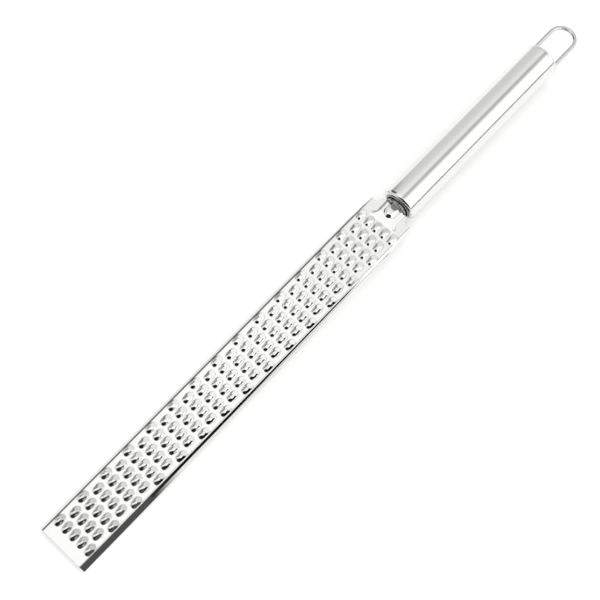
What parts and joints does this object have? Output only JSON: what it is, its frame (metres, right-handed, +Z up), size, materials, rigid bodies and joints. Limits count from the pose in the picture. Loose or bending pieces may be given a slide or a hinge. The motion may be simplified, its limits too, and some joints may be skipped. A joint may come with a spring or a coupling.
{
  "type": "radish grater",
  "caption": "Long hand grater of polished steel: a narrow toothed blade with splayed edges, a round hollow handle and a wire loop to hang it by.",
  "frame": {"origin": "on the table under the middle of the tool's length, as the grater lies at rest", "axes": "+X from the tip towards the hanging loop, +Y towards the left side seen from above with the tip ahead on the left, +Z up out of the toothed face"},
  "size_m": [0.3838, 0.0308, 0.0234],
  "materials": {
    "blade_steel": "mirror-polished stamped sheet",
    "plug_steel": "turned and polished",
    "handle_steel": "satin",
    "cap_steel": "satin",
    "wire_steel": "polished wire"
  },
  "bodies": {
    "root": {"blade": "blade_steel", "front_plug": "plug_steel", "handle_tube": "handle_steel", "end_cap": "cap_steel", "hanging_loop": "wire_steel"}
  },
  "joints": []
}
